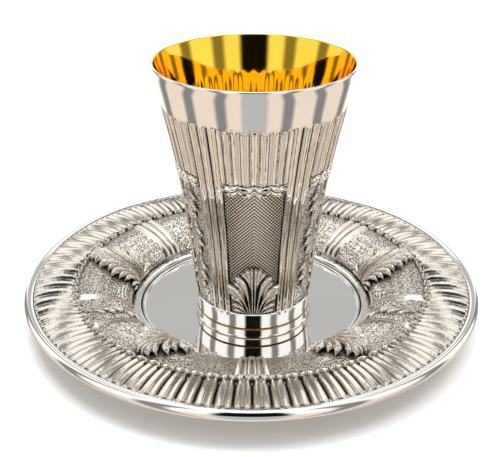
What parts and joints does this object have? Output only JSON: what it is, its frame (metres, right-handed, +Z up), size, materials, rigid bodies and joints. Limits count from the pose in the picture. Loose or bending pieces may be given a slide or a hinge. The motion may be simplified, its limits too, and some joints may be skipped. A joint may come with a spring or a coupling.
{
  "type": "kiddush cup",
  "caption": "Flared silver kiddush beaker with ribs, flutes and leaves, gilt inside, standing in a round dished saucer with a leafy domed wall, radial flutes and a rolled edge.",
  "frame": {"origin": "on the table, under the middle of the saucer", "axes": "+Z up; -Y is the front, the side of the saucer that the cup stands nearer to; +X to the right seen from the front"},
  "size_m": [0.158, 0.158, 0.0914],
  "materials": {
    "silver_gilt_inside": "cast and chased sterling silver, polished, hollows left dark; the inside of the cup is gilded to a mirror finish",
    "polished_silver": "mirror polished sterling silver",
    "chased_silver": "polished sterling silver with a matted, dotted ground on the domed wall, hollows left dark"
  },
  "bodies": {
    "root": {"beaker": "silver_gilt_inside", "foot_ring": "polished_silver", "saucer": "chased_silver"}
  },
  "joints": []
}
